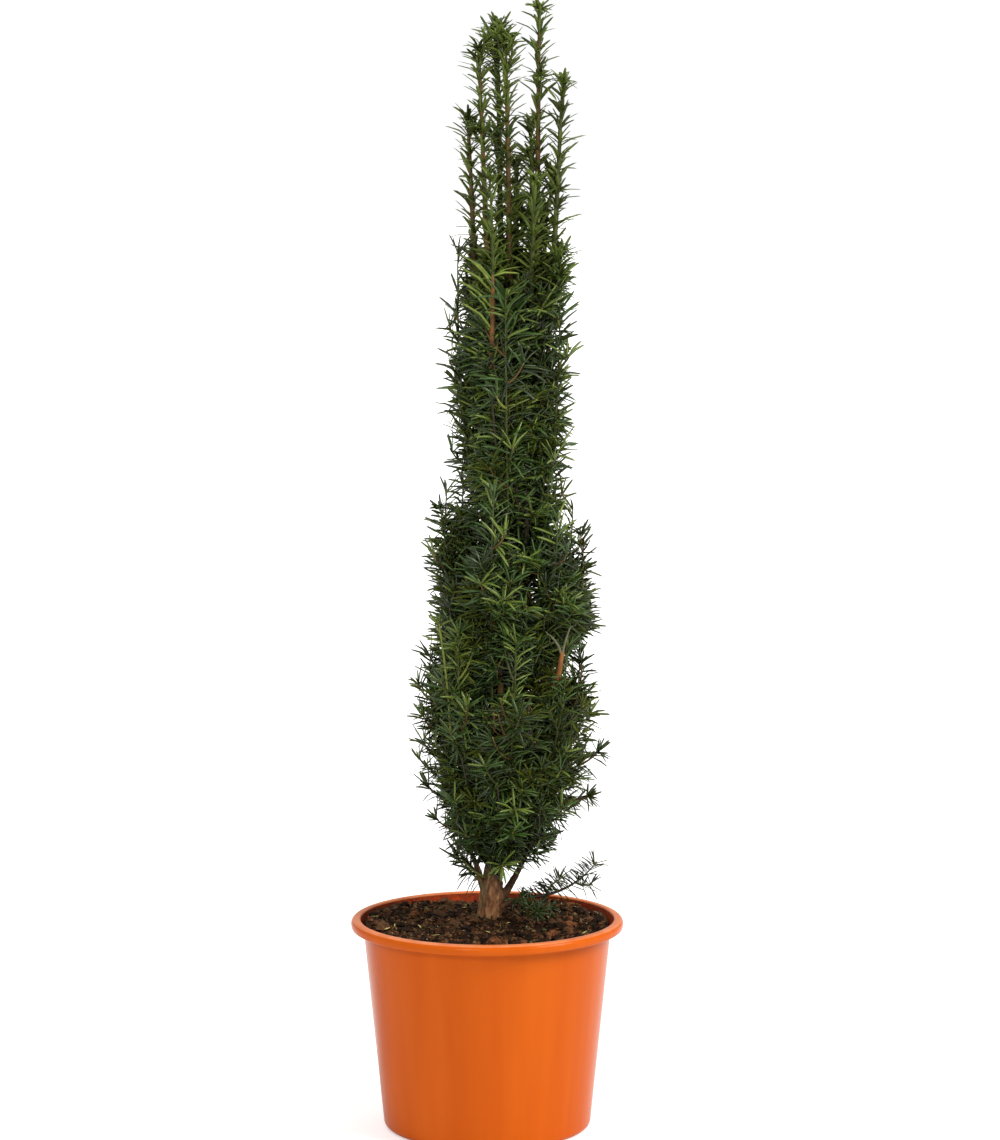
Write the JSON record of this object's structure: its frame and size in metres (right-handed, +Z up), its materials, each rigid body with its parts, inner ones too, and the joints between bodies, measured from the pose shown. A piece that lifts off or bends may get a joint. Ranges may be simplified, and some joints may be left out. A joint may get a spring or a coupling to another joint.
{
  "type": "potted yew",
  "caption": "Columnar evergreen yew: steep needle-clad shoots round one trunk, standing in a plain round plastic pot filled with soil.",
  "frame": {"origin": "centre of the pot's flat underside", "axes": "+Z up along the plant, -Y towards the side the plant is seen from, +X to its right, where the low spray reaches out"},
  "size_m": [0.24, 0.24, 0.9852],
  "materials": {
    "pot": "orange moulded plastic with a soft sheen, a little paler along the rim",
    "soil": "dark brown potting compost of bark crumbs and fibre, with a few pale flecks",
    "bark": "red-brown flaking bark on the trunk, paler and greener on the young stems",
    "needles": "dark glossy green above, paler and matt below, fresh yellow-green at the shoot tips"
  },
  "bodies": {
    "root": {"pot": "pot", "soil": "soil", "bough_low_left": "bark", "bough_low_right": "bark", "bough_middle_left": "bark", "bough_middle_front_left": "bark", "bough_middle_front_right": "bark", "bough_middle_right": "bark", "bough_middle_back_right": "bark", "bough_middle_back_left": "bark", "bough_upper_left": "bark", "bough_upper_front_left": "bark", "bough_upper_front_right": "bark", "bough_upper_back_right": "bark", "bough_upper_back_left": "bark", "bough_left_outer": "bark", "bough_left_middle": "bark", "bough_left_inner": "bark", "bough_right": "bark", "bough_far_left": "bark", "bough_middle": "bark", "bough_middle_back": "bark", "bough_front": "bark", "bough_low_spray": "bark", "trunk": "bark", "foliage_low_left": "needles", "foliage_low_front_left": "needles", "foliage_low_front": "needles", "foliage_low_front_right": "needles", "foliage_low_right": "needles", "foliage_low_back_right": "needles", "foliage_low_back": "needles", "foliage_low_back_left": "needles", "foliage_middle_left": "needles", "foliage_middle_front_left": "needles", "foliage_middle_front_right": "needles", "foliage_middle_right": "needles", "foliage_middle_back_right": "needles", "foliage_middle_back_left": "needles", "foliage_upper_left": "needles", "foliage_upper_front_left": "needles", "foliage_upper_front_right": "needles", "foliage_upper_back_right": "needles", "foliage_upper_back_left": "needles", "leader_tall": "needles", "leader_left_outer": "needles", "leader_left_middle": "needles", "leader_left_inner": "needles", "leader_right": "needles", "leader_far_left": "needles", "leader_middle": "needles", "leader_middle_back": "needles", "leader_front": "needles", "foliage_low_spray": "needles"}
  },
  "joints": []
}
